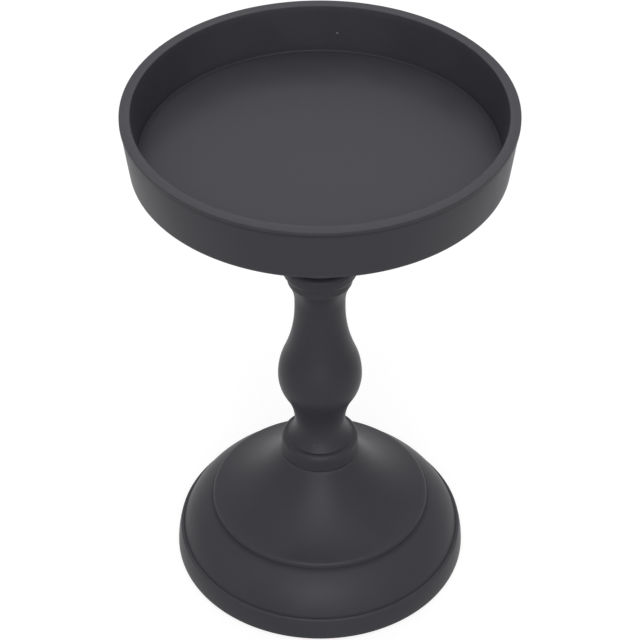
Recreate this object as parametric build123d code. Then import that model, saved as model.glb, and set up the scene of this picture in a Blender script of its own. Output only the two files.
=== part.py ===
from build123d import *
import os
from math import asin, cos, radians, sin, sqrt

# Pedestal candle holder: a shallow round tray on a turned baluster stem and a domed round base.
# The axis of turning is Z, the holder stands on the plane Z = 0, and all sizes are in millimetres.
# One threaded rod runs up the middle: it screws into a boss under the tray, and a nut under
# the dome pulls base, collar, baluster, ring and bell together.

# Cast tray: a flat floor and a wall that leans out to a flat rim with a narrow upright lip
tray_dia = 101.6
tray_height = 15.5
tray_floor = 1.9           # thickness of the floor
rim_width = 2.8            # flat top of the wall
lip_height = 1.0           # upright band round the outside of the rim
lip_ledge = 0.15           # how far that band stands out past the wall
outer_lean = 1.8           # how far the outside of the wall leans out on its way up
inner_lean = 1.2           # the same for the inside of the wall
rim_rounding = 0.3
tray_base_rounding = 0.6   # outer edge between the underside and the wall
tray_floor_rounding = 0.5  # inner corner between the floor and the wall

# Threaded boss under the tray floor
boss_dia = 16.0
boss_height = 8.0
boss_chamfer = 0.8

# Bell under the tray
bell_height = 32.8
bell_neck_dia = 17.6
bell_neck_height = 2.4
bell_seat_dia = 41.0
bell_seat_height = 3.2
bell_seat_rounding = 1.3
bell_top_rounding = 0.6
bell_ledge = 1.3           # how far the seat stands out past the flare

# Ring between bell and baluster
ring_dia = 20.3
ring_height = 4.2
ring_rounding = 1.3

# Baluster, from its foot upwards
baluster_height = 58.1
baluster_foot_dia = 18.5
lower_neck_dia = 14.1
lower_neck_height = 5.1
belly_dia = 23.2
belly_height = 22.3
belly_under_radius = 13.1  # curve of the belly below its widest place
belly_over_radius = 20.3   # curve of the belly above its widest place
upper_neck_dia = 13.8
upper_neck_height = 46.4
upper_neck_length = 2.0    # straight part of the upper neck
baluster_head_dia = 17.6
head_flare_radius = 14.3

# Collar between baluster and base
collar_dia = 21.5
collar_height = 5.5
collar_top_rounding = 1.5
collar_bottom_rounding = 0.4

# Base, spun from sheet with one wall thickness
base_dia = 82.3
base_height = 35.3
base_sheet = 1.5
foot_band_height = 6.7     # upright band round the foot
foot_band_radius = 24.2    # its gentle curve
band_rounding = 0.5
groove_depth = 0.9
groove_ease = 0.35
roll_radius = 17.2         # convex roll above the groove
step_dia = 61.2            # edge of the dome, where it steps down to the roll
step_height = 18.7         # height of that edge above the foot
step_drop = 1.9
step_rounding = 0.9
dome_radius = 33.4         # hollow curve of the dome up to the crown
foot_bend = 0.3
foot_flange = 8.6          # width of the flange turned in under the foot

# Pads under the flange
pad_dia = 7.0
pad_thickness = 1.0
pad_count = 4
pad_inset = 4.4            # from the foot's outside to the middle of a pad

# Threaded rod and its nut and washers
rod_dia = 6.0
rod_ease = 0.3             # clearance round the rod in every bore
rod_stop = 0.5             # space between the rod's end and the tray floor
rod_proud = 4.5            # rod showing below the nut
rod_chamfer = 0.7
thread_ease = 0.05         # clearance in a threaded hole
washer_dia = 18.0
washer_thickness = 1.6
spring_dia = 11.8
spring_thickness = 1.6
spring_gap = 1.0
spring_slant = 20.0
nut_flats = 10.0
nut_height = 5.2
nut_chamfer = 0.6

# Fits between stacked pieces
spigot_dia = 10.0
spigot_length = 2.0
spigot_ease = 0.15         # clearance round a spigot
end_ease = 0.3             # clearance at the end of a spigot or boss
cut_past = 1.0             # how far a cutting shape runs past the faces that it cuts
bore_dia = rod_dia + 2 * rod_ease
socket_dia = spigot_dia + 2 * spigot_ease
socket_depth = spigot_length + end_ease
crown_spigot_length = base_sheet - end_ease

# Heights of the seats, from the floor upwards
foot_z = pad_thickness
crown_z = foot_z + base_height
baluster_z = crown_z + collar_height
ring_z = baluster_z + baluster_height
bell_z = ring_z + ring_height
tray_z = bell_z + bell_height
overall_height = tray_z + tray_height

# Heights inside the base, from the crown's underside downwards, and the two ends of the rod
washer_z = crown_z - base_sheet - washer_thickness
spring_z = washer_z - spring_thickness
nut_z = spring_z - nut_height
rod_bottom_z = nut_z - rod_proud
rod_top_z = tray_z - rod_stop


def solid_of(section):
    """Turn a flat section, drawn as (radius, height), once round the Z axis."""
    return revolve(Plane.XZ * section, Axis.Z)


def eased(section, corners):
    """Round corners of a section, each given as (radius, height, rounding)."""
    for radius, height, rounding in corners:
        corner = section.vertices().sort_by_distance((radius, height, 0))[0]
        section = fillet(corner, rounding)
    return section


def disc(diameter, height, z=0.0):
    """An upright cylinder that stands on height z."""
    return Pos(0, 0, z) * Cylinder(
        diameter / 2, height, align=(Align.CENTER, Align.CENTER, Align.MIN)
    )


def rod_bore(bottom, top):
    """The clearance hole for the rod through a piece that reaches from bottom to top."""
    return disc(bore_dia, top - bottom + 2 * cut_past, bottom - cut_past)


def upright_arc(start, end):
    """One arc that leaves its start upright and ends at the given point."""
    run = end[0] - start[0]
    rise = end[1] - start[1]
    radius = (rise**2 + run**2) / (2 * run)
    turn = asin(abs(rise) / radius)
    side = 1 if rise > 0 else -1
    middle = (
        start[0] + radius * (1 - cos(turn / 2)),
        start[1] + side * radius * sin(turn / 2),
    )
    return ThreePointArc(start, middle, end)


def make_tray():
    """Cast tray: flat floor, leaning wall that thins downwards, flat rim with an upright lip."""
    lip_r = tray_dia / 2
    wall_top_r = lip_r - lip_ledge
    base_r = wall_top_r - outer_lean
    mouth_r = lip_r - rim_width
    floor_r = mouth_r - inner_lean
    lip_z = tray_height - lip_height
    section = make_face(
        Polyline(
            (0, 0),
            (base_r, 0),
            (wall_top_r, lip_z),
            (lip_r, lip_z),
            (lip_r, tray_height),
            (mouth_r, tray_height),
            (floor_r, tray_floor),
            (0, tray_floor),
            close=True,
        )
    )
    corners = [
        (base_r, 0, tray_base_rounding),
        (lip_r, tray_height, rim_rounding),
        (mouth_r, tray_height, rim_rounding),
        (floor_r, tray_floor, tray_floor_rounding),
    ]
    return Pos(0, 0, tray_z) * solid_of(eased(section, corners))


def make_tray_boss():
    """Threaded boss, fixed to the underside of the tray floor."""
    boss = disc(boss_dia, boss_height)
    boss = chamfer(boss.edges().sort_by(Axis.Z)[0], boss_chamfer)
    boss -= disc(rod_dia + 2 * thread_ease, boss_height)
    return Pos(0, 0, tray_z - boss_height) * boss


def make_bell():
    """Bell: a hollow-curved flare from a short neck up to the round seat of the tray."""
    neck_r = bell_neck_dia / 2
    seat_r = bell_seat_dia / 2
    flare_r = seat_r - bell_ledge
    seat_z = bell_height - bell_seat_height
    outline = Polyline((flare_r, seat_z), (seat_r, seat_z), (seat_r, bell_height), (0, bell_height))
    outline += Polyline((0, bell_height), (0, 0), (neck_r, 0), (neck_r, bell_neck_height))
    outline += upright_arc((neck_r, bell_neck_height), (flare_r, seat_z))
    corners = [
        (seat_r, seat_z, bell_seat_rounding),
        (seat_r, bell_height, bell_top_rounding),
    ]
    bell = solid_of(eased(make_face(outline), corners))
    bell -= rod_bore(0, bell_height)
    bell -= disc(socket_dia, socket_depth)
    pocket_depth = boss_height + end_ease
    bell -= disc(boss_dia + 2 * end_ease, pocket_depth, bell_height - pocket_depth)
    return Pos(0, 0, bell_z) * bell


def make_ring():
    """Ring with both outer edges rounded, and a spigot that centres the bell."""
    section = make_face(
        Polyline((0, 0), (ring_dia / 2, 0), (ring_dia / 2, ring_height), (0, ring_height), close=True)
    )
    corners = [(ring_dia / 2, 0, ring_rounding), (ring_dia / 2, ring_height, ring_rounding)]
    ring = solid_of(eased(section, corners))
    ring += disc(spigot_dia, spigot_length, ring_height)
    ring -= rod_bore(0, ring_height + spigot_length)
    ring -= disc(socket_dia, socket_depth)
    return Pos(0, 0, ring_z) * ring


def neck_to_belly(neck, belly, belly_radius):
    """Two arcs that run upright out of a neck and upright into the belly, smooth where they meet.

    The belly's arc has the given radius. The neck's radius follows from it: the two circles
    touch, so their centres lie one sum of radii apart.
    """
    swell = belly[0] - neck[0]
    rise = belly[1] - neck[1]
    radii = (swell**2 + rise**2) / (2 * swell)
    neck_radius = radii - belly_radius
    turn = asin(abs(rise) / radii)
    side = 1 if rise > 0 else -1

    def on_neck(angle):
        return (
            neck[0] + neck_radius * (1 - cos(angle)),
            neck[1] + side * neck_radius * sin(angle),
        )

    def on_belly(angle):
        return (
            belly[0] - belly_radius * (1 - cos(angle)),
            belly[1] - side * belly_radius * sin(angle),
        )

    hollow = ThreePointArc(neck, on_neck(turn / 2), on_neck(turn))
    round_side = ThreePointArc(on_neck(turn), on_belly(turn / 2), belly)
    return hollow + round_side


def make_baluster():
    """Turned baluster: hollow foot, neck, vase-shaped belly, long neck and flared head."""
    foot_r = baluster_foot_dia / 2
    head_r = baluster_head_dia / 2
    lower_neck = (lower_neck_dia / 2, lower_neck_height)
    belly = (belly_dia / 2, belly_height)
    upper_neck = (upper_neck_dia / 2, upper_neck_height)
    flare_start = (upper_neck_dia / 2, upper_neck_height + upper_neck_length)
    # the head flares out on one radius until it reaches the head's diameter
    widening = head_r - upper_neck[0]
    flare_rise = sqrt(head_flare_radius**2 - (head_flare_radius - widening) ** 2)
    flare_end = (head_r, flare_start[1] + flare_rise)

    outline = Polyline((0, 0), (foot_r, 0))
    outline += upright_arc(lower_neck, (foot_r, 0))
    outline += neck_to_belly(lower_neck, belly, belly_under_radius)
    outline += neck_to_belly(upper_neck, belly, belly_over_radius)
    outline += Line(upper_neck, flare_start)
    outline += upright_arc(flare_start, flare_end)
    outline += Polyline(flare_end, (head_r, baluster_height), (0, baluster_height), (0, 0))
    baluster = solid_of(make_face(outline))
    baluster += disc(spigot_dia, spigot_length, baluster_height)
    baluster -= rod_bore(0, baluster_height + spigot_length)
    baluster -= disc(socket_dia, socket_depth)
    return Pos(0, 0, baluster_z) * baluster


def make_collar():
    """Collar on the crown of the base, with a spigot at each end."""
    collar_r = collar_dia / 2
    section = make_face(
        Polyline((0, 0), (collar_r, 0), (collar_r, collar_height), (0, collar_height), close=True)
    )
    corners = [(collar_r, 0, collar_bottom_rounding), (collar_r, collar_height, collar_top_rounding)]
    collar = solid_of(eased(section, corners))
    collar += disc(spigot_dia, spigot_length, collar_height)
    collar += disc(spigot_dia, crown_spigot_length, -crown_spigot_length)
    collar -= rod_bore(-crown_spigot_length, collar_height + spigot_length)
    return Pos(0, 0, crown_z) * collar


def base_outline():
    """Outer outline of the base, carried past the axis so that its inset keeps the full crown."""
    foot_r = base_dia / 2
    band_top_r = foot_r - foot_band_radius + sqrt(foot_band_radius**2 - foot_band_height**2)
    groove_r = band_top_r - groove_depth
    step_r = step_dia / 2
    crown_r = collar_dia / 2
    roll_z = step_height - step_drop
    outline = RadiusArc((foot_r, 0), (band_top_r, foot_band_height), -foot_band_radius)
    outline += Line((band_top_r, foot_band_height), (groove_r, foot_band_height))
    outline += RadiusArc((groove_r, foot_band_height), (step_r, roll_z), -roll_radius)
    outline += Line((step_r, roll_z), (step_r, step_height))
    outline += RadiusArc((step_r, step_height), (crown_r, base_height), dome_radius)
    outline += Polyline((crown_r, base_height), (-crown_r, base_height), (-crown_r, 0), (foot_r, 0))
    corners = [
        (foot_r, 0, foot_bend),
        (band_top_r, foot_band_height, band_rounding),
        (groove_r, foot_band_height, groove_ease),
        (step_r, roll_z, groove_ease),
        (step_r, step_height, step_rounding),
    ]
    return make_face(outline), corners


def make_base_shell():
    """Spun base: one thickness of sheet from the crown to the flange turned in under the foot."""
    outer, corners = base_outline()
    inner = offset(outer, -base_sheet, kind=Kind.INTERSECTION)
    right_half = Pos(base_dia / 4, base_height / 2) * Rectangle(base_dia / 2, base_height)
    cut_height = base_sheet + 2 * cut_past
    foot_opening = Pos(0, base_sheet / 2) * Rectangle(base_dia - 2 * foot_flange, cut_height)
    crown_hole = Pos(0, base_height - base_sheet / 2) * Rectangle(socket_dia, cut_height)
    section = ((outer - inner) & right_half) - foot_opening - crown_hole
    return Pos(0, 0, foot_z) * solid_of(eased(section, corners))


def make_foot_pad(number):
    """One of the round pads stuck under the flange, spread evenly round the foot."""
    angle = 360 * (number + 0.5) / pad_count
    pad = Pos(base_dia / 2 - pad_inset, 0) * disc(pad_dia, pad_thickness)
    return Rot(0, 0, angle) * pad


def make_tie_rod():
    """Threaded rod, drawn at its outside diameter, with its two ends chamfered."""
    length = rod_top_z - rod_bottom_z
    rod = disc(rod_dia, length, rod_bottom_z)
    return chamfer(rod.edges().filter_by(GeomType.CIRCLE), rod_chamfer)


def make_base_washer():
    """Wide flat washer under the crown."""
    washer = disc(washer_dia, washer_thickness) - disc(bore_dia, washer_thickness)
    return Pos(0, 0, washer_z) * washer


def make_spring_washer():
    """Split spring washer, drawn pressed flat, with its slanting cut."""
    ring = disc(spring_dia, spring_thickness) - disc(bore_dia, spring_thickness)
    cut = Box(spring_dia, spring_gap, spring_thickness + 2 * cut_past)
    cut = Pos(spring_dia / 2, 0, spring_thickness / 2) * Rot(spring_slant, 0, 0) * cut
    return Pos(0, 0, spring_z) * (ring - cut)


def make_clamp_nut():
    """Hexagon nut with its corners chamfered on both faces."""
    corner_r = nut_flats / 2 / cos(radians(30))
    blank = extrude(RegularPolygon(corner_r, 6), nut_height)
    turned = chamfer(disc(2 * corner_r, nut_height).edges().filter_by(GeomType.CIRCLE), nut_chamfer)
    nut = (blank & turned) - disc(rod_dia + 2 * thread_ease, nut_height)
    return Pos(0, 0, nut_z) * nut


pieces = {
    "tray": make_tray(),
    "tray_boss": make_tray_boss(),
    "bell": make_bell(),
    "ring": make_ring(),
    "baluster": make_baluster(),
    "collar": make_collar(),
    "base_shell": make_base_shell(),
    "tie_rod": make_tie_rod(),
    "base_washer": make_base_washer(),
    "spring_washer": make_spring_washer(),
    "clamp_nut": make_clamp_nut(),
}
for number in range(pad_count):
    pieces[f"foot_pad_{number + 1}"] = make_foot_pad(number)

os.makedirs("parts", exist_ok=True)
for name, piece in pieces.items():
    export_step(piece.solids()[0], f"parts/{name}.step")
print(f"{len(pieces)} pieces, {overall_height:.1f} mm tall, rod {rod_top_z - rod_bottom_z:.1f} mm")
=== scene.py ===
# %% [markdown]
# # A pedestal candle holder in black powder coat
#
# The real object is a stack of metal pieces: a shallow cast tray, a flared bell, a small ring, a
# baluster stem, a collar and a spun base. One threaded rod runs through all of them, and a nut
# under the base pulls the stack together. Everything that shows is coated black; the rod, the nut
# and the washers are plated steel, and four rubber pads keep the foot off the table.
#
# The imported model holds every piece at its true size. This lesson keeps those sizes and gives each
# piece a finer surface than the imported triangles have, and then a finish. We start by loading the
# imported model, which stays fixed, and by measuring it before anything is added.

# %% Load the frame and measure it
from math import atan, cos, degrees, pi, radians, sin, sqrt, tan

import bpy
import numpy as np
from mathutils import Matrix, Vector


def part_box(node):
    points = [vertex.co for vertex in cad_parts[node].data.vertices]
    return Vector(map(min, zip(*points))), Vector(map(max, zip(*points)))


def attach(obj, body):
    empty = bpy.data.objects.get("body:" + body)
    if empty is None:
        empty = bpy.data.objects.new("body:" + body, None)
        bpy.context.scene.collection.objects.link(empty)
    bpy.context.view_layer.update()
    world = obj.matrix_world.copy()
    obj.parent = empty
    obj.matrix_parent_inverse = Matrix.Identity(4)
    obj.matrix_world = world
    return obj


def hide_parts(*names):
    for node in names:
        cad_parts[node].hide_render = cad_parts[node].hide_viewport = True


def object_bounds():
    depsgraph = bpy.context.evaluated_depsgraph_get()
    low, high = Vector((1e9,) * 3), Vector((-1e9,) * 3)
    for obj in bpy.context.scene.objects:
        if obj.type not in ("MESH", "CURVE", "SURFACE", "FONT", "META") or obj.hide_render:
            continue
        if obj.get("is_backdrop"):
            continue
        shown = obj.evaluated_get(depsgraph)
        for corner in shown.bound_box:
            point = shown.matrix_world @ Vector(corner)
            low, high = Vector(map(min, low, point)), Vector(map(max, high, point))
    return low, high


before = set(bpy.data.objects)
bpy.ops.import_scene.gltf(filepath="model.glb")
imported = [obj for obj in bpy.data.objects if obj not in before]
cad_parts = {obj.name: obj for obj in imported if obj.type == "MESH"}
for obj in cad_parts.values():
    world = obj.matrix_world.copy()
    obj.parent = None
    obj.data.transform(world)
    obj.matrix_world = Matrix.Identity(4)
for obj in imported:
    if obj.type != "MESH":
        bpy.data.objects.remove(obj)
cad_low, cad_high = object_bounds()
mm = 0.001
print("nodes:", sorted(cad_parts))
print("size in mm:", [round(c / mm, 1) for c in cad_high - cad_low])

# %% [markdown]
# ## The camera
#
# A product photographer stood about half a metre in front of the holder and looked down at it by
# 40 degrees. The rim of the tray shows as a flatter ellipse than the rim of the foot, because the
# tray is nearer to the height of the lens, and that difference fixes the distance. A long lens
# keeps the sides of the foot from bulging. We place the camera by that distance and angle.

# %% Camera at the photograph's angle
camera_back = 504.0 * mm
camera_height = 505.8 * mm
look_down = radians(40)
picture_px = 640
focal_px = 2430

camera_data = bpy.data.cameras.new("camera")
camera_data.sensor_width = 36.0
camera_data.lens = camera_data.sensor_width * focal_px / picture_px
camera = bpy.data.objects.new("camera", camera_data)
camera.location = (0, -camera_back, camera_height)
camera.rotation_euler = (pi / 2 - look_down, 0, 0)
bpy.context.scene.collection.objects.link(camera)
bpy.context.scene.camera = camera
bpy.context.scene.view_settings.view_transform = "Standard"
print(f"lens {camera_data.lens:.1f} mm")

# %% [markdown]
# ## Floor and light
#
# Black things show their shape by what they reflect, so the light matters more than on a pale
# object. The photograph has soft light from the front and from above, and white all round: the
# floor of the tray is pale, and darker near the far wall, which hides the white room behind it from
# the coat. The sides of each turned piece catch a pale line where they turn away from us.
#
# We use two soft lamps in front, one low and one high, two weak ones above and behind, and a
# world that lights softly from all sides. The low one sets the walls that face us, the high one the
# shoulders and the dome. The camera and the reflections see the world, and the floor, as white.
# The floor still takes the shadow of the object, because part of what it shows is light from the
# lamps.


# %% Helper for node trees
def add_node(tree, kind, inputs=(), **settings):
    """Add a node, set its fields, and fill its inputs with values or with links."""
    node = tree.nodes.new(kind)
    for field, value in settings.items():
        setattr(node, field, value)
    for socket, value in dict(inputs).items():
        if isinstance(value, bpy.types.NodeSocket):
            tree.links.new(value, node.inputs[socket])
        else:
            node.inputs[socket].default_value = value
    return node


def seen_directly(tree):
    """One where the camera, a reflection or a view through something looks, otherwise none."""
    path = add_node(tree, "ShaderNodeLightPath")
    either = add_node(tree, "ShaderNodeMath", operation="MAXIMUM", inputs={
        0: path.outputs["Is Camera Ray"], 1: path.outputs["Is Glossy Ray"]})
    return add_node(tree, "ShaderNodeMath", operation="MAXIMUM", inputs={
        0: either.outputs[0], 1: path.outputs["Is Transmission Ray"]}).outputs[0]


# %% World, white to look at and softer as a lamp
room_level = 0.15
room_seen = 1.0

world = bpy.data.worlds.new("room")
bpy.context.scene.world = world
world.use_nodes = True
tree = world.node_tree
tree.nodes.clear()
level = add_node(tree, "ShaderNodeMapRange", inputs={
    "Value": seen_directly(tree), "To Min": room_level, "To Max": room_seen})
background = add_node(tree, "ShaderNodeBackground", inputs={
    "Color": (1, 1, 1, 1), "Strength": level.outputs[0]})
tree.links.new(background.outputs[0], add_node(tree, "ShaderNodeOutputWorld").inputs[0])
print(f"world gives {room_level} and looks {room_seen}")

# %% Pale floor that keeps the shadow
floor_half = 3.0
floor_colour = (0.32, 0.32, 0.32, 1)
floor_glow = 0.82

floor_mesh = bpy.data.meshes.new("floor")
square = [(-floor_half, -floor_half, 0), (floor_half, -floor_half, 0), (floor_half, floor_half, 0),
          (-floor_half, floor_half, 0)]
floor_mesh.from_pydata(square, [], [(0, 1, 2, 3)])
floor = bpy.data.objects.new("floor", floor_mesh)
bpy.context.scene.collection.objects.link(floor)
floor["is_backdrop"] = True

paper = bpy.data.materials.new("paper")
paper.use_nodes = True
tree = paper.node_tree
tree.nodes.clear()
matt = add_node(tree, "ShaderNodeBsdfDiffuse", inputs={"Color": floor_colour})
share = add_node(tree, "ShaderNodeMath", operation="MULTIPLY", inputs={
    0: seen_directly(tree), 1: floor_glow})
glow = add_node(tree, "ShaderNodeEmission", inputs={
    "Color": (1, 1, 1, 1), "Strength": share.outputs[0]})
both = add_node(tree, "ShaderNodeAddShader", inputs={0: matt.outputs[0], 1: glow.outputs[0]})
clear = add_node(tree, "ShaderNodeBsdfTransparent")
under = add_node(tree, "ShaderNodeNewGeometry").outputs["Backfacing"]
from_above = add_node(tree, "ShaderNodeMixShader", inputs={
    0: under, 1: both.outputs[0], 2: clear.outputs[0]})
tree.links.new(from_above.outputs[0], add_node(tree, "ShaderNodeOutputMaterial").inputs[0])
floor.data.materials.append(paper)
print("floor at height 0, see-through from below")


# %% Soft lamps
def soft_lamp(name, place, size, power):
    """A square area lamp at the place, aimed at the middle of the holder's height."""
    data = bpy.data.lights.new(name, "AREA")
    data.size = size
    data.energy = power
    lamp = bpy.data.objects.new(name, data)
    lamp.location = place
    middle = (cad_low + cad_high) / 2
    lamp.rotation_mode = "QUATERNION"
    lamp.rotation_quaternion = (lamp.location - middle).to_track_quat("Z", "Y")
    bpy.context.scene.collection.objects.link(lamp)
    print(f"{name}: {power} W, {size} m wide")


soft_lamp("front low", (0.0, -1.5, 0.8), 1.2, 9.2)
soft_lamp("front high", (0.0, -0.95, 1.35), 1.1, 6.4)
soft_lamp("overhead", (0.0, 0.05, 1.3), 1.0, 3.6)
soft_lamp("behind", (0.0, 0.75, 1.1), 0.8, 2.6)

# %% [markdown]
# ## How a turned piece is described
#
# Every visible piece was turned, pressed or spun, so half a section says all about it. A designer
# draws that section as straight stretches and arcs, and rounds its corners, because no real
# edge is sharp and a coat of powder softens it further. We do the same: an outline is a list of
# corners, each with its rounding, and with the bend of the stretch that follows it.
#
# The alternative, a bevel on a coarse mesh, rounds every edge alike. Rounding the section first
# lets each corner have its own size, and the points can be packed where the outline turns.


# %% Stretches of an outline
grain = 0.04 * mm          # spacing of the fine points that an outline is first drawn with


def stretch(start, end, bend=0.0):
    """Fine points from start to end, as rows of (radius, height).

    A straight stretch is start + t (end - start). An arc turns about a centre that lies at the
    distance |bend| from both ends, to the left of the way for a positive bend and to the right
    for a negative one: centre + |bend| (cos angle, sin angle).
    """
    start, end = np.array(start, float), np.array(end, float)
    chord = end - start
    length = np.hypot(*chord)
    t = np.linspace(0, 1, max(int(length / grain), 6))[:, None]
    if bend == 0:
        return start + t * chord
    left = np.array([-chord[1], chord[0]]) / length
    to_centre = sqrt(bend**2 - (length / 2) ** 2)
    centre = (start + end) / 2 + left * np.sign(bend) * to_centre
    first = np.arctan2(*(start - centre)[::-1])
    swing = 2 * np.arcsin(length / 2 / abs(bend)) * np.sign(bend)
    angle = first + t * swing
    return centre + abs(bend) * np.hstack([np.cos(angle), np.sin(angle)])


def along(points):
    """Length along a row of points, from the first one."""
    return np.concatenate([[0], np.cumsum(np.hypot(*np.diff(points, axis=0).T))])


def trimmed(points, cut_first, cut_last):
    """The same stretch without its first and last bit of length."""
    s = along(points)
    keep = np.linspace(cut_first, s[-1] - cut_last, len(points))
    return np.stack([np.interp(keep, s, points[:, 0]), np.interp(keep, s, points[:, 1])], axis=1)


def heading(points, last=False):
    """Direction of travel at the first or last point, of length one."""
    step = points[-1] - points[-2] if last else points[1] - points[0]
    return step / np.hypot(*step)


# %% [markdown]
# A rounding between two straight stretches is an arc. Between arcs it is still nearly one, so we
# use a cubic that leaves one stretch and enters the next in their own directions, with the
# strength that makes it a true arc when both are straight.


# %% Roundings and whole outlines
def rounding_curve(start, way_in, end, way_out):
    """Cubic from start to end that leaves along way_in and arrives along way_out.

    The point at t is h0 start + h1 pull way_in + h2 end + h3 pull way_out, with the four cubic
    weights of Hermite form. For a turn by an angle, pull is
    2 chord tan(angle / 4) / sin(angle / 2).
    """
    turn = np.arccos(np.clip(way_in @ way_out, -1, 1))
    pull = 2 * np.hypot(*(end - start)) * tan(turn / 4) / sin(turn / 2)
    t = np.linspace(0, 1, 24)[:, None]
    weights = (2 * t**3 - 3 * t**2 + 1, t**3 - 2 * t**2 + t, -2 * t**3 + 3 * t**2, t**3 - t**2)
    parts = (start, pull * way_in, end, pull * way_out)
    return sum(weight * part for weight, part in zip(weights, parts))


def outline(corners, closed=True):
    """Fine points of an outline given as rows of (radius, height, rounding, bend).

    The bend belongs to the stretch that starts at the corner. A closed outline runs against the
    clock, with the metal on its left, so that faces made from it point outwards.
    """
    count = len(corners)
    ways = [stretch(corners[i][:2], corners[(i + 1) % count][:2], corners[i][3])
            for i in range(count if closed else count - 1)]
    cuts = np.zeros(count)
    for i in range(count):
        if corners[i][2] and (closed or 0 < i < count - 1):
            turn = np.arccos(np.clip(heading(ways[i - 1], last=True) @ heading(ways[i]), -1, 1))
            cuts[i] = corners[i][2] * tan(turn / 2)
    ways = [trimmed(way, cuts[i], cuts[(i + 1) % count]) for i, way in enumerate(ways)]
    pieces = []
    for i, way in enumerate(ways):
        if cuts[i]:
            before = ways[i - 1]
            pieces.append(rounding_curve(
                before[-1], heading(before, last=True), way[0], heading(way))[1:-1])
        pieces.append(way)
    fine = np.concatenate(pieces)
    moved = np.hypot(*np.diff(fine, axis=0).T) > 1e-9
    return fine[np.concatenate([[True], moved])]


# %% [markdown]
# ## Turning an outline into a surface
#
# The lathe is the simplest surface of two parameters: the place along the outline, and the angle.
# A point of the outline at radius r and height z goes to (r cos a, r sin a, z). Long straight
# stretches need few rows and tight roundings need many, so rows are spaced evenly along the sum of
# length and turning. The exact direction of the outline also gives the exact shading direction at
# every point, which keeps a wide flat floor flat right up to its rounding.
#
# The same pass stores how sharply the outline turns: above zero on an edge, below zero in a hollow.
# Powder pulls back from a sharp edge while it melts. That number, called edge, later makes the
# finish paler on edges, partly for that thinner coat and partly as a painted highlight, and darker
# and less reflective in hollows, as painted shade.


# %% Rows along an outline
longest_row = 3.0 * mm
turn_per_row = radians(8)
edge_scale = 0.5 * mm      # an outward rounding of this radius counts as a full edge


def rows_along(fine, closed, **marks):
    """Pick rows from a fine outline: points, outward directions, and marks with edge strength.

    Rows are even in length / longest_row + turning / turn_per_row. The outward direction is the
    direction of travel turned right: (dz, -dr). Edge is edge_scale times the turning per length,
    held between -1 and 1.
    Further marks are numbers given at the fine points, and carried over to the rows.
    """
    wrap = (slice(-3, None), slice(None), slice(None, 3)) if closed else (slice(None),)
    ring = np.concatenate([fine[part] for part in wrap])
    marks = {mark: np.concatenate([values[part] for part in wrap])
             for mark, values in marks.items()}
    s = along(ring)
    travel = np.gradient(ring, s, axis=0)
    travel /= np.linalg.norm(travel, axis=1)[:, None]
    angle = np.unwrap(np.arctan2(travel[:, 1], travel[:, 0]))
    bending = np.gradient(angle, s)
    if closed:
        keep = slice(3, -2)
        ring, s, travel, angle, bending = (a[keep] for a in (ring, s, travel, angle, bending))
        marks = {mark: values[keep] for mark, values in marks.items()}
    effort = np.concatenate([[0], np.cumsum(
        np.diff(s) / longest_row + np.abs(np.diff(angle)) / turn_per_row)])
    count = int(effort[-1]) + 2
    picks = np.linspace(0, effort[-1], count)[: -1 if closed else None]
    place = np.interp(picks, effort, s)
    column = [np.interp(place, s, a) for a in (ring[:, 0], ring[:, 1], travel[:, 0], travel[:, 1],
                                              bending)]
    points = np.stack(column[:2], axis=1)
    outward = np.stack([column[3], -column[2]], axis=1)
    carried = {mark: np.interp(place, s, values) for mark, values in marks.items()}
    return points, outward, {"edge": np.clip(column[4] * edge_scale, -1, 1), **carried}


# %% Skin over rows and angles
def skin(rows, columns, closed):
    """Faces over a grid of rows and columns, and the grid points that they use.

    Columns always close into a ring. Closed rows close too. Otherwise the first and last rows are
    poles: all their points coincide, so one is kept, and triangles fan out of it.
    """
    j = np.arange(columns)
    next_j = (j + 1) % columns
    if closed:
        i = np.arange(rows)[:, None]
        next_i = (i + 1) % rows
        quads = np.stack([i * columns + j, i * columns + next_j,
                          next_i * columns + next_j, next_i * columns + j], axis=-1)
        return quads.reshape(-1, 4).tolist(), np.arange(rows * columns)
    low = 1 + np.arange(rows - 3)[:, None] * columns
    high = low + columns
    quads = np.stack([low + j, low + next_j, high + next_j, high + j], axis=-1)
    last = 1 + (rows - 3) * columns
    pole = last + columns
    first_fan = np.stack([0 * j, 1 + next_j, 1 + j], axis=-1)
    last_fan = np.stack([last + j, last + next_j, 0 * j + pole], axis=-1)
    used = np.concatenate([[0], np.arange(columns, (rows - 1) * columns), [(rows - 1) * columns]])
    return quads.reshape(-1, 4).tolist() + first_fan.tolist() + last_fan.tolist(), used


def piece_from(name, points, faces, directions=None, sharp=None, **marks):
    """A mesh object at the origin, with its marks as point attributes.

    Shading follows the exact outward directions where they are given. Otherwise edges that turn
    by more than the angle called sharp stay sharp, and the rest is smooth.
    """
    mesh = bpy.data.meshes.new(name)
    mesh.from_pydata(points.tolist(), [], faces)
    mesh.shade_smooth()
    for mark, values in marks.items():
        layer = mesh.attributes.new(mark, "FLOAT", "POINT")
        layer.data.foreach_set("value", values.astype(np.float32))
    if directions is not None:
        mesh.normals_split_custom_set_from_vertices(directions.tolist())
    if sharp is not None:
        mesh.set_sharp_from_angle(angle=sharp)
    mesh.validate(clean_customdata=False)
    made = bpy.data.objects.new(name, mesh)
    bpy.context.scene.collection.objects.link(made)
    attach(made, "root")
    print(f"{name}: {len(mesh.vertices)} points, {len(mesh.polygons)} faces")
    return made


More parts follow.
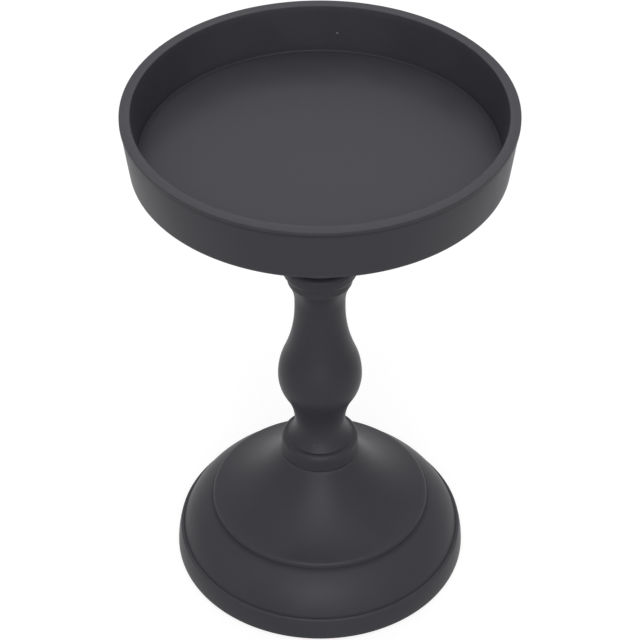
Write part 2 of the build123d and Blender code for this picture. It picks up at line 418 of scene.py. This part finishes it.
def turned(name, fine, columns, closed=True, centre=(0, 0), **marks):
    """Turn a fine outline round an upright line: centre + (r cos a, r sin a), and z as it is."""
    rows, outward, carried = rows_along(fine, closed, **marks)
    a = 2 * pi * np.arange(columns) / columns
    ray = np.stack([np.cos(a), np.sin(a)], axis=1)

    def round_the_axis(pairs, middle):
        """Carry every pair (r, z) round the axis: middle + (r cos a, r sin a), and z."""
        flat = pairs[:, None, :1] * ray[None] + np.array(middle)
        upright = np.broadcast_to(pairs[:, None, 1:], (len(pairs), columns, 1))
        return np.concatenate([flat, upright], axis=2).reshape(-1, 3)

    faces, used = skin(len(rows), columns, closed)
    carried = {mark: np.repeat(values, columns)[used] for mark, values in carried.items()}
    return piece_from(name, round_the_axis(rows, centre)[used], faces,
                      directions=round_the_axis(outward, (0, 0))[used], **carried)


# %% [markdown]
# ## Powder coat
#
# Powder is sprayed on dry and melts into a skin about a tenth of a millimetre thick. It dries to a
# fine orange peel, a gentle waviness about a millimetre long, with a faint grain over it. It is not
# quite evenly black, and a few specks of dust sit on it. Its colour is also painted a shade darker
# in hollows, as painted shade, and a shade paler on sharp edges, partly for the thinner coat there
# and partly as a painted highlight.
#
# We build it as one procedural material on Object coordinates, which are metres here, so every
# scale is a real length. Two noises give the waviness and the grain, a third, slow one varies the
# gloss, and the edge number from the lathe paints edges paler and hollows darker: painted highlight
# and painted shade, with the edges partly a thinner coat. Inside the base, where the spray hardly
# reaches, a mark from the outline lets the coat turn thin and patchy.


# %% Black coat
coat_black = (0.0495, 0.0485, 0.0580, 1)
coat_pale = (0.0555, 0.0543, 0.0645, 1)
# paler colour on sharp edges: partly the thinner coat, partly painted highlight
coat_edge_thin_and_highlight = (0.066, 0.065, 0.072, 1)
coat_thin = (0.085, 0.083, 0.082, 1)
# darker colour in hollows and creases: painted shade
coat_painted_shade = (0.043, 0.042, 0.049, 1)
dust_colour = (0.28, 0.28, 0.28, 1)
peel_length = 1.1 * mm
grain_length = 0.25 * mm
cloud_length = 18 * mm
patch_length = 9 * mm      # bare patches inside the base
dust_spacing = 12 * mm
dust_size = 0.32 * mm
dust_core = 0.4            # share of a speck that is fully pale
coat_ior = 1.45
coat_shine = 0.2


def place_in_object(tree):
    """The place of the shaded point in its object, in metres."""
    return add_node(tree, "ShaderNodeTexCoord").outputs["Object"]


def noise(tree, place, length, detail=2.0):
    """Noise whose bumps are about one length across, from 0 to 1."""
    return add_node(tree, "ShaderNodeTexNoise", inputs={
        "Vector": place, "Scale": 1 / length, "Detail": detail}).outputs["Fac"]


def between(tree, value, low, high, to_low, to_high):
    """Carry a value from one range to another and hold it at the ends."""
    return add_node(tree, "ShaderNodeMapRange", inputs={
        "Value": value, "From Min": low, "From Max": high,
        "To Min": to_low, "To Max": to_high}).outputs[0]


def blend_colour(tree, share, first, second):
    """The first colour where the share is 0, the second where it is 1, and mixes between."""
    mixer = add_node(tree, "ShaderNodeMix", data_type="RGBA", inputs={
        "Factor": share, 6: first, 7: second})
    return mixer.outputs[2]


def bump(tree, height, depth, below=None):
    """Bend the surface direction by a height map that is depth metres deep."""
    inputs = {"Height": height, "Distance": depth, "Strength": 1.0}
    if below is not None:
        inputs["Normal"] = below
    return add_node(tree, "ShaderNodeBump", inputs=inputs).outputs[0]


def new_material(name):
    """A material with an empty node tree, and that tree."""
    material = bpy.data.materials.new(name)
    material.use_nodes = True
    material.node_tree.nodes.clear()
    return material, material.node_tree


def close_material(tree, **inputs):
    """End a tree with one shader. An input's name is written with _ for each space."""
    shader = add_node(tree, "ShaderNodeBsdfPrincipled", inputs={
        key.replace("_", " "): value for key, value in inputs.items()})
    tree.links.new(shader.outputs[0], add_node(tree, "ShaderNodeOutputMaterial").inputs[0])


def powder_coat(name, peel_depth=0.009 * mm, roughness=(0.38, 0.48)):
    """Semi-matte black coat: orange peel, grain, clouds, dust, edges paler for thin coat and painted
    highlight, hollows darker as painted shade.
    """
    material, tree = new_material(name)
    place = place_in_object(tree)
    clouds = noise(tree, place, cloud_length, detail=3.0)
    colour = blend_colour(tree, between(tree, clouds, 0.35, 0.65, 0.0, 1.0), coat_black, coat_pale)
    edge = add_node(tree, "ShaderNodeAttribute", attribute_name="edge").outputs["Fac"]
    # edges painted paler: partly the thinner coat there, partly painted highlight
    broken = between(tree, noise(tree, place, 2 * peel_length), 0.3, 0.7, 0.3, 0.8)
    edge_thin_and_highlight = add_node(tree, "ShaderNodeMath", operation="MULTIPLY", inputs={0: edge, 1: broken})
    colour = blend_colour(tree, edge_thin_and_highlight.outputs[0], colour, coat_edge_thin_and_highlight)
    # hollows painted darker and given half the reflection: painted shade
    painted_hollow_shade = between(tree, edge, -0.9, -0.1, 1.0, 0.0)
    colour = blend_colour(tree, painted_hollow_shade, colour, coat_painted_shade)
    shine = between(tree, painted_hollow_shade, 0.0, 1.0, coat_shine, coat_shine / 2)
    inside = add_node(tree, "ShaderNodeAttribute", attribute_name="inside").outputs["Fac"]
    patches = between(tree, noise(tree, place, patch_length, detail=4.0), 0.42, 0.62, 0.15, 1.0)
    bare = add_node(tree, "ShaderNodeMath", operation="MULTIPLY", inputs={0: inside, 1: patches})
    colour = blend_colour(tree, bare.outputs[0], colour, coat_thin)
    dust = add_node(tree, "ShaderNodeTexVoronoi", inputs={
        "Vector": place, "Scale": 1 / dust_spacing}).outputs["Distance"]
    reach = dust_size / dust_spacing
    speck = between(tree, dust, dust_core * reach, reach, 1.0, 0.0)
    colour = blend_colour(tree, speck, colour, dust_colour)
    gloss = between(tree, clouds, 0.3, 0.7, *roughness)
    peel = bump(tree, noise(tree, place, peel_length, detail=1.0), peel_depth)
    skin = bump(tree, noise(tree, place, grain_length), peel_depth / 4, below=peel)
    close_material(tree, Base_Color=colour, Roughness=gloss, Normal=skin, IOR=coat_ior,
                   Specular_IOR_Level=shine)
    return material


black_coat = powder_coat("black_coat")
print("coat ready")


# %% Dress a piece
def dress(piece, material, slot, *nodes):
    """Give a piece its finish, and hide the nodes that it stands for."""
    piece.data.materials.clear()
    piece.data.materials.append(material)
    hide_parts(*nodes)


def heights(node):
    """Lowest and highest level of a node, and its outer radius."""
    low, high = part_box(node)
    return low.z, high.z, high.x


# %% [markdown]
# ## The tray
#
# The tray is cast. Its floor is flat, and its wall leans out, thicker at the top than at the
# bottom, so that the casting leaves its mould. The rim is a flat band almost three millimetres
# wide. Round its outside runs an upright lip, one millimetre high and hardly prouder than the
# wall. In the photograph that lip is the thin dark line that parts the pale rim from the wall, and
# it leaves a small notch in the outline on both sides of the rim.

# %% Tray outline
tray_floor = 1.9 * mm
rim_width = 2.8 * mm
lip_height = 1.0 * mm
lip_ledge = 0.15 * mm
outer_lean = 1.8 * mm
inner_lean = 1.2 * mm
rim_rounding = 0.3 * mm
tray_heel = 0.6 * mm
tray_corner = 0.5 * mm

tray_under, tray_top, tray_r = heights("tray")
floor_level = tray_under + tray_floor
wall_top_r = tray_r - lip_ledge
mouth_r = tray_r - rim_width
lip_under = tray_top - lip_height
tray_outline = outline([
    (0, tray_under, 0, 0),
    (wall_top_r - outer_lean, tray_under, tray_heel, 0),
    (wall_top_r, lip_under, lip_ledge / 3, 0),
    (tray_r, lip_under, lip_ledge / 3, 0),
    (tray_r, tray_top, rim_rounding, 0),
    (mouth_r, tray_top, rim_rounding, 0),
    (mouth_r - inner_lean, floor_level, tray_corner, 0),
    (0, floor_level, 0, 0),
], closed=False)
dress(turned("tray_cast", tray_outline, 360, closed=False), black_coat, "black_coat", "tray")
lean = degrees(atan(outer_lean / (lip_under - tray_under)))
print(f"tray mouth {2 * mouth_r / mm:.1f} mm, wall leans {lean:.1f} degrees")

# %% [markdown]
# Under the tray floor sits a boss with a thread for the rod. It disappears in a pocket of the bell,
# so a plain ring with one chamfered edge is all there is to it.

# %% Boss outline
boss_chamfer = 0.8 * mm
thread_r = 3.05 * mm       # the bore of a threaded hole, just clear of the rod
file_edge = 0.15 * mm      # rounding that a file or a tumbler leaves on a small sharp edge

boss_under, boss_top, boss_r = heights("tray_boss")
boss_outline = outline([
    (boss_r - boss_chamfer, boss_under, file_edge, 0),
    (boss_r, boss_under + boss_chamfer, file_edge, 0),
    (boss_r, boss_top, file_edge, 0),
    (thread_r, boss_top, file_edge, 0),
    (thread_r, boss_under, file_edge, 0),
])
dress(turned("boss_turned", boss_outline, 96), black_coat, "black_coat", "tray_boss")

# %% [markdown]
# ## Bell and ring
#
# The bell carries the tray: a trumpet that widens from the stem to a round seat. The ring below it
# is a small bead with two round edges. Both sit on a short spigot of the piece underneath and are
# bored for the rod, so their outlines are closed loops that never touch the axis.

# %% Bores shared by the stacked pieces
bore_r = 3.3 * mm
spigot_r = 5.0 * mm
socket_r = 5.15 * mm
spigot_length = 2.0 * mm
socket_depth = 2.3 * mm
small = 0.25 * mm          # rounding of edges that are only broken with a file


def upright_bend(start, end):
    """Radius of the arc that is upright at its start: (rise^2 + run^2) / (2 run)."""
    run, rise = abs(end[0] - start[0]), abs(end[1] - start[1])
    return (rise**2 + run**2) / (2 * run)


def bored(outside, bottom, top, with_spigot=True):
    """Close an outside, given from bottom to top, with its spigot, bore and socket."""
    upper = [(spigot_r, top, 0, 0), (spigot_r, top + spigot_length, small, 0),
             (bore_r, top + spigot_length, small, 0)]
    lower = [(bore_r, bottom + socket_depth, 0, 0), (socket_r, bottom + socket_depth, 0, 0),
             (socket_r, bottom, small, 0)]
    return outline(outside + (upper if with_spigot else []) + lower)


# %% Bell
neck_height = 2.4 * mm
neck_r = 8.8 * mm
seat_height = 3.2 * mm
seat_ledge = 1.3 * mm
seat_rounding = 1.3 * mm
seat_top_rounding = 0.6 * mm
pocket_r = 8.3 * mm
pocket_depth = 8.3 * mm

bell_under, bell_top, seat_r = heights("bell")
flare_start = (neck_r, bell_under + neck_height)
flare_end = (seat_r - seat_ledge, bell_top - seat_height)
bell_outline = bored([
    (neck_r, bell_under, small, 0),
    (*flare_start, 0, -upright_bend(flare_start, flare_end)),
    (*flare_end, small, 0),
    (seat_r, flare_end[1], seat_rounding, 0),
    (seat_r, bell_top, seat_top_rounding, 0),
    (pocket_r, bell_top, small, 0),
    (pocket_r, bell_top - pocket_depth, small, 0),
    (bore_r, bell_top - pocket_depth, small, 0),
], bell_under, bell_top, with_spigot=False)
dress(turned("bell_turned", bell_outline, 224), black_coat, "black_coat", "bell")

# %% Ring
ring_height = 4.2 * mm
ring_rounding = 1.3 * mm

ring_under, _, ring_r = heights("ring")
ring_top = ring_under + ring_height
ring_outline = bored([
    (ring_r, ring_under, ring_rounding, 0),
    (ring_r, ring_top, ring_rounding, 0),
], ring_under, ring_top)
dress(turned("ring_turned", ring_outline, 192), black_coat, "black_coat", "ring")

# %% [markdown]
# ## Baluster and collar
#
# The stem is a classic baluster: a hollow foot, a waist, a belly that swells like a vase, a long
# neck and a head that flares out again. A turner makes each swell from one hollow and one round
# cut that meet without a corner. Two circles that touch do exactly that, and their radii follow
# from the height and width of the swell, so the whole stem is a chain of arcs.


# %% Baluster
def swell(waist, belly, belly_bend):
    """The point where the hollow arc meets the round one, and the hollow arc's radius.

    Both arcs are upright at their outer ends. Their radii add up to
    (rise^2 + run^2) / (2 run), and they meet where both have turned by
    asin(rise / sum of radii).
    """
    both = upright_bend(waist, belly)
    hollow = both - belly_bend
    turn = np.arcsin((belly[1] - waist[1]) / both)
    meeting = (waist[0] + hollow * (1 - cos(turn)), waist[1] + hollow * sin(turn))
    return meeting, hollow


hairline = 0.06 * mm       # edge that the coat has almost closed against its neighbour
foot_r = 9.25 * mm
waist_r = 7.05 * mm
waist_height = 5.1 * mm
belly_r = 11.6 * mm
belly_height = 22.3 * mm
belly_under_bend = 13.1 * mm
belly_over_bend = 20.3 * mm
stem_neck_r = 6.9 * mm
stem_neck_height = 46.4 * mm
stem_neck_length = 2.0 * mm
head_r = 8.8 * mm
head_bend = 14.3 * mm

stem_under, _, _ = heights("baluster")
stem_top = ring_under
waist = (waist_r, stem_under + waist_height)
belly = (belly_r, stem_under + belly_height)
neck = (stem_neck_r, stem_under + stem_neck_height)
neck_end = (stem_neck_r, neck[1] + stem_neck_length)
head_rise = sqrt(head_bend**2 - (head_bend - head_r + stem_neck_r) ** 2)
lower_meeting, lower_hollow = swell(waist, belly, belly_under_bend)
upper_meeting, upper_hollow = swell(neck, belly, belly_over_bend)
stem_outline = bored([
    (foot_r, stem_under, hairline, -upright_bend(waist, (foot_r, stem_under))),
    (*waist, 0, -lower_hollow),
    (*lower_meeting, 0, belly_under_bend),
    (*belly, 0, belly_over_bend),
    (*upper_meeting, 0, -upper_hollow),
    (*neck, 0, 0),
    (*neck_end, 0, -head_bend),
    (head_r, neck_end[1] + head_rise, small, 0),
    (head_r, stem_top, small, 0),
], stem_under, stem_top)
dress(turned("baluster_turned", stem_outline, 224), black_coat, "black_coat", "baluster")
print(f"hollow arcs {lower_hollow / mm:.1f} and {upper_hollow / mm:.1f} mm")

# %% Collar
collar_rounding = 1.5 * mm
collar_heel = 0.4 * mm
crown_spigot = 1.2 * mm

collar_low, _, collar_r = heights("collar")
collar_under = collar_low + crown_spigot
collar_outline = outline([
    (collar_r, collar_under, collar_heel, 0),
    (collar_r, stem_under, collar_rounding, 0),
    (spigot_r, stem_under, small, 0),
    (spigot_r, stem_under + spigot_length, small, 0),
    (bore_r, stem_under + spigot_length, small, 0),
    (bore_r, collar_low, small, 0),
    (spigot_r, collar_low, small, 0),
    (spigot_r, collar_under, 0, 0),
])
dress(turned("collar_turned", collar_outline, 192), black_coat, "black_coat", "collar")

# %% [markdown]
# ## The base
#
# The base is one disc of sheet, spun over a form: a hollow dome rises to the crown, a step drops to
# a convex roll, a groove sets off the upright band of the foot, and the edge of the sheet is
# turned in underneath. Inside it repeats the outside, one sheet further in.
#
# The inside could be a second list of corners, but that would have to be kept in step by hand. We
# push the outside in by one sheet instead. Where a corner is tighter than the sheet is thick, the
# pushed line crosses itself. The metal can't do that, so every point that ended up nearer to the
# outside than one sheet is dropped, and a running mean eases what is left.


# %% Inner side of a sheet
def one_sheet_in(fine, sheet):
    """Push a fine outline inwards by a sheet and drop the points that came too near to it.

    Pushed point = point - sheet * outward direction. It stays if its distance to every point of
    the outline is at least the sheet, less one grain. A running mean then eases the joins.
    """
    s = along(fine)
    travel = np.gradient(fine, s, axis=0)
    travel /= np.linalg.norm(travel, axis=1)[:, None]
    pushed = fine - sheet * np.stack([travel[:, 1], -travel[:, 0]], axis=1)
    apart = pushed[:, None] - fine[None, ::3]
    nearest = np.hypot(apart[..., 0], apart[..., 1]).min(axis=1)
    kept = pushed[nearest > sheet - grain / 4]
    s = along(kept)
    even = np.linspace(0, s[-1], len(fine))
    kept = np.stack([np.interp(even, s, kept[:, 0]), np.interp(even, s, kept[:, 1])], axis=1)
    reach = 12
    padded = np.concatenate([
        2 * kept[0] - kept[reach:0:-1], kept, 2 * kept[-1] - kept[-2:-reach - 2:-1]])
    window = np.ones(2 * reach + 1) / (2 * reach + 1)
    return np.stack([np.convolve(padded[:, k], window, "valid") for k in (0, 1)], axis=1)


# %% Base shell
base_sheet = 1.5 * mm
flange_width = 8.6 * mm
band_height = 6.7 * mm
band_bend = 24.2 * mm
band_rounding = 0.5 * mm
groove_depth = 0.9 * mm
groove_ease = 0.35 * mm
roll_bend = 17.2 * mm
step_r = 30.6 * mm
step_height = 18.7 * mm
step_drop = 1.9 * mm
step_rounding = 0.9 * mm
dome_bend = 33.4 * mm
foot_rounding = 0.3 * mm

base_under, crown_level, _ = heights("base_shell")
base_r = 41.15 * mm
band_top = base_under + band_height
step_top = base_under + step_height
band_top_r = base_r - band_bend + sqrt(band_bend**2 - band_height**2)
outside = outline([
    (base_r - flange_width, base_under, 0, 0),
    (base_r, base_under, foot_rounding, band_bend),
    (band_top_r, band_top, band_rounding, 0),
    (band_top_r - groove_depth, band_top, groove_ease, roll_bend),
    (step_r, step_top - step_drop, groove_ease, 0),
    (step_r, step_top, step_rounding, -dome_bend),
    (collar_r, crown_level, small, 0),
    (socket_r, crown_level, 0, 0),
], closed=False)
inside = one_sheet_in(outside, base_sheet)
shell = np.concatenate([outside, inside[::-1]])
is_inside = np.concatenate([np.zeros(len(outside)), np.ones(len(inside))])
base = turned("base_spun", shell, 320, inside=is_inside)
dress(base, black_coat, "black_coat", "base_shell")
long_outside, long_inside = (along(side)[-1] / mm for side in (outside, inside))
print(f"outline {long_outside:.0f} mm long outside, {long_inside:.0f} mm inside")

# %% [markdown]
# ## Zinc
#
# The rod, the nut and the washers are standard steel parts with bright zinc on them. Zinc plating
# is a grey metal with a faint blue and straw bloom, smooth but never a mirror: fine scratches from
# the tumbler cross it. In the roots of a thread its colour is made darker, so the rod carries a mark
# that tells how deep each point lies in its thread.

# %% Zinc plating
zinc_grey = (0.62, 0.62, 0.60, 1)
zinc_blue = (0.55, 0.58, 0.64, 1)
zinc_straw = (0.66, 0.62, 0.50, 1)
zinc_dull = (0.20, 0.19, 0.17, 1)
bloom_length = 5 * mm
scratch_length = 0.35 * mm
scratch_depth = 0.003 * mm
scratch_squeeze = 6.0      # scratches run round the axis, so they are this much shorter along it

zinc, tree = new_material("zinc")
place = place_in_object(tree)
bloom = noise(tree, place, bloom_length, detail=3.0)
colour = blend_colour(tree, between(tree, bloom, 0.30, 0.50, 1.0, 0.0), zinc_grey, zinc_blue)
colour = blend_colour(tree, between(tree, bloom, 0.52, 0.75, 0.0, 1.0), colour, zinc_straw)
depth_mark = add_node(tree, "ShaderNodeAttribute", attribute_name="depth").outputs["Fac"]
# darker colour towards the roots of the thread
colour = blend_colour(tree, between(tree, depth_mark, 0.4, 1.0, 0.0, 0.8), colour, zinc_dull)
dull = between(tree, bloom, 0.3, 0.7, 0.26, 0.40)
stretched = add_node(tree, "ShaderNodeMapping", inputs={
    "Vector": place, "Scale": (1.0, 1.0, scratch_squeeze)})
marks_of_wear = noise(tree, stretched.outputs[0], scratch_length, detail=4.0)
worn = bump(tree, marks_of_wear, scratch_depth)
close_material(tree, Base_Color=colour, Metallic=1.0, Roughness=dull, Normal=worn)
print("zinc ready")

# %% [markdown]
# ## The threaded rod
#
# A thread is a height field wrapped round a cylinder: the radius at height z and angle a depends on
# z / pitch - a / (2 pi) alone, the number of turns. A rolled thread has rounded crests and
# roots, so a cosine of that number is a good profile, and it makes the thread right-handed. At both
# ends a cone cuts the thread away. Twelve rows to each turn of thread keep the crests round.

# %% Rod
pitch = 1.0 * mm
thread_depth = 0.6 * mm
rod_chamfer = 0.7 * mm
rows_per_turn = 12
rod_columns = 32

rod_low, rod_high, rod_r = heights("tie_rod")
z = np.linspace(rod_low, rod_high, int((rod_high - rod_low) / pitch * rows_per_turn) + 1)[:, None]
a = 2 * pi * np.arange(rod_columns)[None, :] / rod_columns
depth = (1 - np.cos(2 * pi * z / pitch - a)) / 2
from_end = np.minimum(z - rod_low, rod_high - z)
radius = np.minimum(rod_r - thread_depth * depth, rod_r - rod_chamfer + from_end)
# two rings and a pole close each flat end
face_rings = np.array([0.0, 0.5, 0.93])[:, None] * (rod_r - rod_chamfer) * np.ones_like(a)
radius = np.concatenate([face_rings, radius, face_rings[::-1]])
z = np.concatenate([[[rod_low]] * 3, z, [[rod_high]] * 3]) * np.ones_like(a)
depth = np.concatenate([0 * face_rings, depth, 0 * face_rings])
points = np.stack([radius * np.cos(a), radius * np.sin(a), z], axis=-1).reshape(-1, 3)
faces, used = skin(len(z), rod_columns, closed=False)
rod = piece_from("rod_threaded", points[used], faces, sharp=radians(75),
                 depth=depth.reshape(-1)[used])
dress(rod, zinc, "zinc", "tie_rod")
print(f"{(rod_high - rod_low) / pitch:.1f} turns of thread")

# %% [markdown]
# ## Nut and washers
#
# A hexagon nut is turned first and its corners are cut by the chamfer, which leaves a curved line
# on each flat. That line is where a cone meets a flat, and it comes by itself when every column of
# the grid gets its own outline: at the angle a, the flat lies at half the width over flats / cos
# of the angle from the middle of the flat. Every edge keeps a small broken corner.

# %% Nut
across_flats = 10.0 * mm
corner_chamfer = 0.6 * mm
countersink = 0.35 * mm
broken = 0.06 * mm
nut_columns = 240

nut_low, nut_high, corner_r = heights("clamp_nut")
a = 2 * pi * np.arange(nut_columns) / nut_columns
flat = across_flats / 2 / np.cos(a % (pi / 3) - pi / 6)
flat = np.minimum(flat, corner_r - broken)
face_r = np.minimum(corner_r - corner_chamfer, flat - broken)
drop = flat - face_r
plain = np.ones_like(a)
section = [
    (face_r, nut_low * plain),
    (flat, nut_low + drop),
    (flat, nut_high - drop),
    (face_r, nut_high * plain),
    ((thread_r + countersink) * plain, nut_high * plain),
    (thread_r * plain, (nut_high - countersink) * plain),
    (thread_r * plain, (nut_low + countersink) * plain),
    ((thread_r + countersink) * plain, nut_low * plain),
]
radius = np.array([row[0] for row in section])
z = np.array([row[1] for row in section])
points = np.stack([radius * np.cos(a), radius * np.sin(a), z], axis=-1).reshape(-1, 3)
faces, used = skin(len(section), nut_columns, closed=True)
dress(piece_from("nut_hexagon", points[used], faces, sharp=radians(25)), zinc, "zinc", "clamp_nut")

# %% [markdown]
# A flat washer is stamped: the punch rounds the edges on one side and leaves them keen on the
# other. The spring washer is a turn of square wire, cut on a slant. Its section runs round from
# one cut face to the other, and the place of the cut depends on height: y = -z tan(slant).

# %% Washers
washer_low, washer_high, washer_r = heights("base_washer")
washer_outline = outline([
    (washer_r, washer_low, 2 * file_edge, 0),
    (washer_r, washer_high, file_edge, 0),
    (bore_r, washer_high, file_edge, 0),
    (bore_r, washer_low, 2 * file_edge, 0),
])
dress(turned("washer_flat", washer_outline, 128), zinc, "zinc", "base_washer")

spring_gap = 1.0 * mm
spring_slant = radians(20)
spring_r = 5.9 * mm
spring_columns = 128

spring_low, spring_high, _ = heights("spring_washer")
wire, _, _ = rows_along(outline([
    (spring_r, spring_low, file_edge, 0),
    (spring_r, spring_high, file_edge, 0),
    (bore_r, spring_high, file_edge, 0),
    (bore_r, spring_low, file_edge, 0),
]), closed=True)
r, z = wire[:, :1], wire[:, 1:]
middle = (spring_low + spring_high) / 2
lag = -(z - middle) * tan(spring_slant)
half_gap = spring_gap / 2 / cos(spring_slant)
first = np.arcsin((lag + half_gap) / r)
last = 2 * pi + np.arcsin((lag - half_gap) / r)
a = first + (last - first) * np.linspace(0, 1, spring_columns)[None, :]
ring_points = np.stack([r * np.cos(a), r * np.sin(a), z * np.ones_like(a)], axis=-1)
rows = len(wire)
i = np.arange(rows)
next_i = (i + 1) % rows
j = np.arange(spring_columns - 1)[:, None]
quads = np.stack([i * spring_columns + j, i * spring_columns + j + 1,
                  next_i * spring_columns + j + 1, next_i * spring_columns + j], axis=-1)
ends = ring_points[:, [0, -1]].mean(axis=0)
first_hub = rows * spring_columns
first_cap = np.stack([i * spring_columns, next_i * spring_columns, 0 * i + first_hub], axis=-1)
last_cap = np.stack([next_i * spring_columns + spring_columns - 1,
                     i * spring_columns + spring_columns - 1, 0 * i + first_hub + 1], axis=-1)
points = np.concatenate([ring_points.reshape(-1, 3), ends])
faces = quads.reshape(-1, 4).tolist() + first_cap.tolist() + last_cap.tolist()
spring = piece_from("washer_split", points, faces, sharp=radians(40))
dress(spring, zinc, "zinc", "spring_washer")

# %% [markdown]
# ## Rubber pads
#
# Four punched discs of rubber keep the foot off the table. Rubber is dull, a little paler where it
# is rubbed, and pitted with fine grain. The discs bulge softly at the edge, because the weight
# presses them.

# %% Pads
rubber_black = (0.030, 0.030, 0.031, 1)
rubber_grey = (0.055, 0.054, 0.053, 1)
rub_length = 2.5 * mm
pit_length = 0.12 * mm
pit_depth = 0.012 * mm
pad_edge = 0.3 * mm

rubber, tree = new_material("rubber")
place = place_in_object(tree)
rubbed = noise(tree, place, rub_length, detail=4.0)
colour = blend_colour(tree, between(tree, rubbed, 0.4, 0.65, 0.0, 1.0), rubber_black, rubber_grey)
pits = bump(tree, noise(tree, place, pit_length), pit_depth)
close_material(tree, Base_Color=colour, Normal=pits,
               Roughness=between(tree, rubbed, 0.3, 0.7, 0.72, 0.88))
print("rubber ready")

for node in [name for name in sorted(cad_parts) if name.startswith("foot_pad")]:
    low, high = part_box(node)
    pad_r = (high.x - low.x) / 2
    pad_outline = outline([
        (0, low.z, 0, 0),
        (pad_r, low.z, pad_edge, 0),
        (pad_r, high.z, pad_edge, 0),
        (0, high.z, 0, 0),
    ], closed=False)
    middle = ((low.x + high.x) / 2, (low.y + high.y) / 2)
    made = turned("rubber_" + node, pad_outline, 72, closed=False, centre=middle)
    dress(made, rubber, "pad", node)

# %% [markdown]
# ## Last steps
#
# The box of the finished picture is printed, to set against the box of the imported model printed at
# the start.

# %% Sizes and finish
low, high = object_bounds()
print("visual size in mm:", [round(c / mm, 1) for c in high - low])
